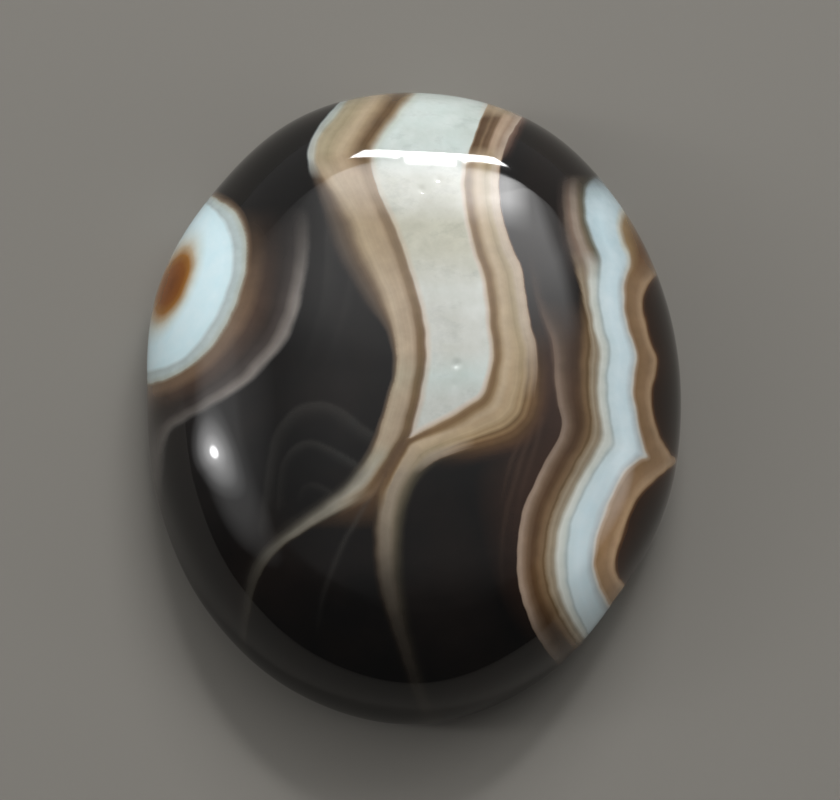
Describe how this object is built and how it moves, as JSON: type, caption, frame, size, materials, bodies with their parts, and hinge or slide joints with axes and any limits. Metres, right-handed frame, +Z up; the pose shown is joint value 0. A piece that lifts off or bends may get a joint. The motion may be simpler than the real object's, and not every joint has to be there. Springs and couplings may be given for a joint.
{
  "type": "sulemani agate cabochon",
  "caption": "Polished banded agate cut as a tall freeform oval cabochon with rounded shoulders and a flat back to rest or glue on.",
  "frame": {"origin": "middle of the stone's box, on the flat back that it rests on", "axes": "+Z up through the domed face, +Y along the stone's long way, +X across it"},
  "size_m": [0.0314, 0.0376, 0.0105],
  "materials": {
    "polished_agate": "polished black, brown and white banded chalcedony"
  },
  "bodies": {
    "root": {"agate_stone": "polished_agate"}
  },
  "joints": []
}
